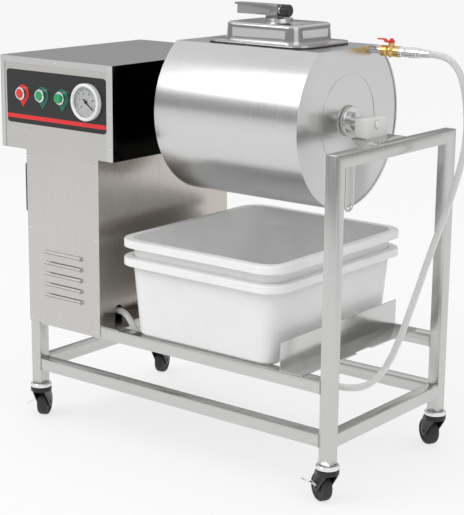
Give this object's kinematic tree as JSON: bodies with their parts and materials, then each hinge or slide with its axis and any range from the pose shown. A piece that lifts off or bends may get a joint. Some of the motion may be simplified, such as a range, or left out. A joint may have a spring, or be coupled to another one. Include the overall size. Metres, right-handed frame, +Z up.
{
  "type": "meat vacuum tumbler",
  "caption": "Vacuum meat tumbler: steel drum with a flat lid on a square-tube frame with casters, control box and louvred cabinet, nested tubs below and a clear vacuum hose.",
  "frame": {"origin": "centre of the bounding box of everything but the hose, on the floor under the casters", "axes": "+X along the drum away from the control box, +Y to the back, +Z up"},
  "size_m": [1.0617, 0.5595, 1.045],
  "materials": {
    "black_plastic": "satin",
    "brass": "satin",
    "cast_grey": "satin",
    "chrome_trim": "polished",
    "clear_glass": "clear",
    "dial_white": "matte",
    "green_plastic": "glossy",
    "hose_pvc": "translucent",
    "legend": "glossy",
    "mirror_sheet": "polished",
    "red_plastic": "glossy",
    "rubber_black": "matte",
    "stainless": "brushed",
    "stainless_sheet": "brushed",
    "tyre_black": "matte",
    "white_plastic": "satin"
  },
  "bodies": {
    "frame": {"bearing_block": "white_plastic", "bearing_left": "cast_grey", "bearing_seat": "stainless", "box_chassis": "stainless_sheet", "box_cover": "mirror_sheet", "box_front": "stainless_sheet", "button_housings": "chrome_trim", "cabinet_floor": "stainless_sheet", "cabinet_front": "stainless_sheet", "cabinet_shell": "mirror_sheet", "caster_races": "chrome_trim", "control_gear": "black_plastic", "control_plate": "black_plastic", "drive_belt": "black_plastic", "frame_end_left": "stainless", "frame_end_right": "stainless", "gauge_case": "dial_white", "gauge_glass": "clear_glass", "gear_motor": "cast_grey", "hose": "hose_pvc", "hose_hook": "stainless", "hose_socket": "chrome_trim", "legend_plates": "legend", "motor_shelf": "cast_grey", "panel_screws": "chrome_trim", "rail_low_back": "stainless", "rail_low_front": "stainless", "rail_shelf_back": "stainless", "rail_shelf_front": "stainless", "tub_stop": "stainless", "vacuum_pump": "cast_grey", "vent_cover": "black_plastic"},
    "drum": {"drum_shell": "stainless", "drum_hub_right": "stainless", "drum_shaft_left": "stainless", "lid_gasket": "rubber_black", "valve_body": "brass", "hose_plug": "chrome_trim"},
    "lid": {"lid": "stainless", "lid_handle": "stainless"},
    "vent_knob": {"vent_knob": "black_plastic"},
    "valve_lever": {"valve_lever": "red_plastic"},
    "motor_pulley": {"motor_pulley": "cast_grey"},
    "button_stop": {"button_stop": "red_plastic"},
    "button_start": {"button_start": "green_plastic"},
    "button_vacuum": {"button_vacuum": "green_plastic"},
    "gauge_pointer": {"gauge_pointer": "black_plastic"},
    "tub_lower": {"tub_lower": "white_plastic"},
    "tub_upper": {"tub_upper": "white_plastic"},
    "caster_fork_fl": {"caster_fork_fl": "black_plastic"},
    "caster_wheel_fl": {"caster_wheel_fl": "tyre_black"},
    "caster_fork_fr": {"caster_fork_fr": "black_plastic"},
    "caster_wheel_fr": {"caster_wheel_fr": "tyre_black"},
    "caster_fork_bl": {"caster_fork_bl": "black_plastic"},
    "caster_wheel_bl": {"caster_wheel_bl": "tyre_black"},
    "caster_fork_br": {"caster_fork_br": "black_plastic"},
    "caster_wheel_br": {"caster_wheel_br": "tyre_black"},
    "caster_brake_fl": {"caster_brake_fl": "chrome_trim"},
    "caster_brake_fr": {"caster_brake_fr": "chrome_trim"}
  },
  "joints": [
    {"name": "drum_spin", "type": "hinge", "parent": "frame", "child": "drum", "pos_m": [0.143, -0.0012, 0.8005], "axis": [1, 0, 0], "continuous": true},
    {"name": "motor_spin", "type": "hinge", "parent": "frame", "child": "motor_pulley", "pos_m": [-0.2235, -0.0012, 0.565], "axis": [1, 0, 0], "continuous": true},
    {"name": "lid_lift", "type": "slide", "parent": "drum", "child": "lid", "axis": [0, 0, 1], "range_m": [0, 0.15]},
    {"name": "vent_knob_turn", "type": "hinge", "parent": "lid", "child": "vent_knob", "pos_m": [0.1565, -0.0012, 1.031], "axis": [1, 0, 0], "range_deg": [0, 360]},
    {"name": "valve_turn", "type": "hinge", "parent": "drum", "child": "valve_lever", "pos_m": [0.3805, 0.1018, 0.9673], "axis": [0, 0, 1], "range_deg": [0, 90]},
    {"name": "press_stop", "type": "slide", "parent": "frame", "child": "button_stop", "axis": [0, 1, 0], "range_m": [0, 0.004], "stiffness_N_per_m": 400, "springref_m": -0.002},
    {"name": "press_start", "type": "slide", "parent": "frame", "child": "button_start", "axis": [0, 1, 0], "range_m": [0, 0.004], "stiffness_N_per_m": 400, "springref_m": -0.002},
    {"name": "press_vacuum", "type": "slide", "parent": "frame", "child": "button_vacuum", "axis": [0, 1, 0], "range_m": [0, 0.004], "stiffness_N_per_m": 400, "springref_m": -0.002},
    {"name": "gauge_needle", "type": "hinge", "parent": "frame", "child": "gauge_pointer", "pos_m": [-0.2035, -0.2657, 0.818], "axis": [0, -1, 0], "range_deg": [0, 260]},
    {"name": "tubs_slide", "type": "slide", "parent": "frame", "child": "tub_lower", "axis": [0, -1, 0], "range_m": [0, 0.12]},
    {"name": "tub_lift", "type": "slide", "parent": "tub_lower", "child": "tub_upper", "axis": [0, 0, 1], "range_m": [0, 0.07]},
    {"name": "swivel_fl", "type": "hinge", "parent": "frame", "child": "caster_fork_fl", "pos_m": [-0.4085, -0.2267, 0.08], "axis": [0, 0, 1], "continuous": true},
    {"name": "roll_fl", "type": "hinge", "parent": "caster_fork_fl", "child": "caster_wheel_fl", "pos_m": [-0.41985, -0.20442, 0.0325], "axis": [-0.891, -0.454, 0], "continuous": true},
    {"name": "brake_fl", "type": "hinge", "parent": "caster_fork_fl", "child": "caster_brake_fl", "pos_m": [-0.43722, -0.21328, 0.042], "axis": [-0.454, 0.891, 0], "range_deg": [0, 60]},
    {"name": "swivel_fr", "type": "hinge", "parent": "frame", "child": "caster_fork_fr", "pos_m": [0.4615, -0.2267, 0.08], "axis": [0, 0, 1], "continuous": true},
    {"name": "roll_fr", "type": "hinge", "parent": "caster_fork_fr", "child": "caster_wheel_fr", "pos_m": [0.43943, -0.21496, 0.0325], "axis": [-0.4695, -0.8829, 0], "continuous": true},
    {"name": "brake_fr", "type": "hinge", "parent": "caster_fork_fr", "child": "caster_brake_fr", "pos_m": [0.43027, -0.23218, 0.042], "axis": [-0.8829, 0.4695, 0], "range_deg": [-60, 0]},
    {"name": "swivel_bl", "type": "hinge", "parent": "frame", "child": "caster_fork_bl", "pos_m": [-0.4085, 0.2233, 0.08], "axis": [0, 0, 1], "continuous": true},
    {"name": "roll_bl", "type": "hinge", "parent": "caster_fork_bl", "child": "caster_wheel_bl", "pos_m": [-0.41705, 0.24679, 0.0325], "axis": [-0.9397, -0.342, 0], "continuous": true},
    {"name": "swivel_br", "type": "hinge", "parent": "frame", "child": "caster_fork_br", "pos_m": [0.4615, 0.2233, 0.08], "axis": [0, 0, 1], "continuous": true},
    {"name": "roll_br", "type": "hinge", "parent": "caster_fork_br", "child": "caster_wheel_br", "pos_m": [0.43985, 0.2358, 0.0325], "axis": [-0.5, -0.866, 0], "continuous": true}
  ],
  "couplings": [
    {"joint": "motor_spin", "follows": "drum_spin", "ratio": 3}
  ]
}
